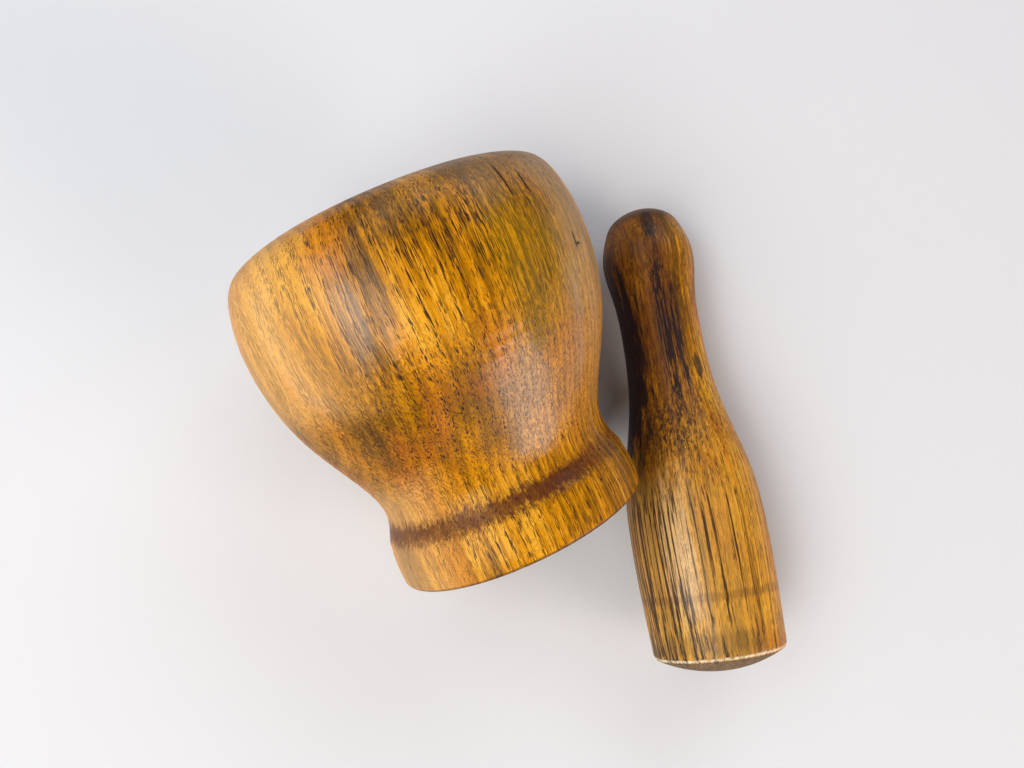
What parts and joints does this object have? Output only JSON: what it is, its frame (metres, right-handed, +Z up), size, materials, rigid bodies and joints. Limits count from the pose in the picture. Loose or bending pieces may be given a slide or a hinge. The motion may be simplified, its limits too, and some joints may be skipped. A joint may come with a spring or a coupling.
{
  "type": "mortar and pestle",
  "caption": "Turned wooden mortar with a waisted foot and a rolled rim, lying on its side beside its wooden pestle with a domed pounding face and a rounded knob.",
  "frame": {"origin": "middle of the underside of the whole set's bounding box, on the table that both pieces lie on", "axes": "+Z up from the table; +Y along the mortar's axis in plan, from its foot to its mouth; +X towards the pestle"},
  "size_m": [0.1502, 0.1764, 0.1037],
  "materials": {
    "mortar_wood": "satin varnish over open-grained hardwood",
    "pestle_wood": "worn satin varnish over open-grained hardwood, dark stained grip"
  },
  "bodies": {
    "mortar": {"mortar": "mortar_wood"},
    "pestle": {"pestle": "pestle_wood"}
  },
  "joints": [
    {"name": "pestle_lift", "type": "slide", "parent": "mortar", "child": "pestle", "axis": [0, 0, 1], "range_m": [0, 0.12]}
  ]
}
